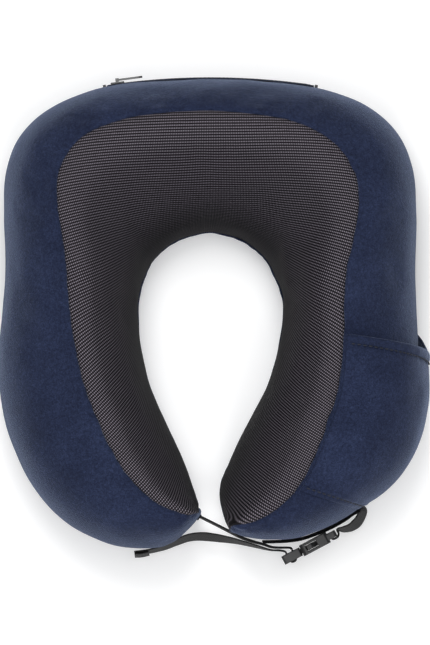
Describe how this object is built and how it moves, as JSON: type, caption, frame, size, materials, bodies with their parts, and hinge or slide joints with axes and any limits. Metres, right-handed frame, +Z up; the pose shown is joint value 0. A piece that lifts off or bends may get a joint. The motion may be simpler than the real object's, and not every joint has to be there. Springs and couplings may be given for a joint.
{
  "type": "u shaped neck pillow",
  "caption": "U shaped foam travel neck pillow with a velour and mesh cover, a side pocket, a back zip and a buckled front strap.",
  "frame": {"origin": "centre of the footprint on the flat surface that the pillow rests on", "axes": "+Z up out of the resting surface, +Y towards the back of the neck, +X towards the arm that carries the pocket"},
  "size_m": [0.2784, 0.3183, 0.1256],
  "materials": {
    "velour": "matte",
    "pocket_cloth": "matte",
    "spacer_mesh": "matte",
    "foam": "matte",
    "label": "matte",
    "zip_tape": "matte",
    "zip_plastic": "satin",
    "zip_metal": "satin",
    "webbing": "matte",
    "buckle_plastic": "satin"
  },
  "bodies": {
    "root": {"foam_core": "foam", "mesh_panel": "spacer_mesh", "outer_panel": "velour", "base_panel": "velour", "tip_gussets": "velour", "pocket_panel": "pocket_cloth", "pocket_hem": "pocket_cloth", "care_label": "label", "zipper_tape_upper": "zip_tape", "zipper_tape_lower": "zip_tape", "zipper_teeth_upper": "zip_plastic", "zipper_teeth_lower": "zip_plastic", "zipper_stops": "zip_plastic", "strap_anchor_left": "webbing", "strap_anchor_right": "webbing", "strap_left": "webbing", "strap_right": "webbing", "buckle_female": "buckle_plastic"},
    "buckle_male": {"buckle_male_frame": "buckle_plastic", "strap_tail": "webbing"},
    "prong_upper": {"buckle_prong_upper": "buckle_plastic"},
    "prong_lower": {"buckle_prong_lower": "buckle_plastic"},
    "zipper_slider": {"zipper_slider": "zip_metal"},
    "zipper_pull": {"zipper_pull": "zip_metal"}
  },
  "joints": [
    {"name": "buckle_release", "type": "slide", "parent": "root", "child": "buckle_male", "axis": [-0.8829, -0.4695, 0], "range_m": [0, 0.03], "deforming": ["strap_left", "buckle_prong_upper", "buckle_prong_lower"]},
    {"name": "prong_upper_squeeze", "type": "hinge", "parent": "buckle_male", "child": "prong_upper", "pos_m": [0.05764, -0.14836, 0.037], "axis": [-0.4695, 0.8829, 0], "range_deg": [0, 8], "stiffness_Nm_per_rad": 0.05},
    {"name": "prong_lower_squeeze", "type": "hinge", "parent": "buckle_male", "child": "prong_lower", "pos_m": [0.05764, -0.14836, 0.023], "axis": [0.4695, -0.8829, 0], "range_deg": [0, 8], "stiffness_Nm_per_rad": 0.05},
    {"name": "zipper_travel", "type": "hinge", "parent": "root", "child": "zipper_slider", "pos_m": [-0.003, -0.3033, 0.05], "axis": [0, 0, -1], "range_deg": [0, 14.8]},
    {"name": "pull_flip", "type": "hinge", "parent": "zipper_slider", "child": "zipper_pull", "pos_m": [-0.06368, 0.15762, 0.05], "axis": [0, 0, 1], "range_deg": [0, 165]}
  ]
}
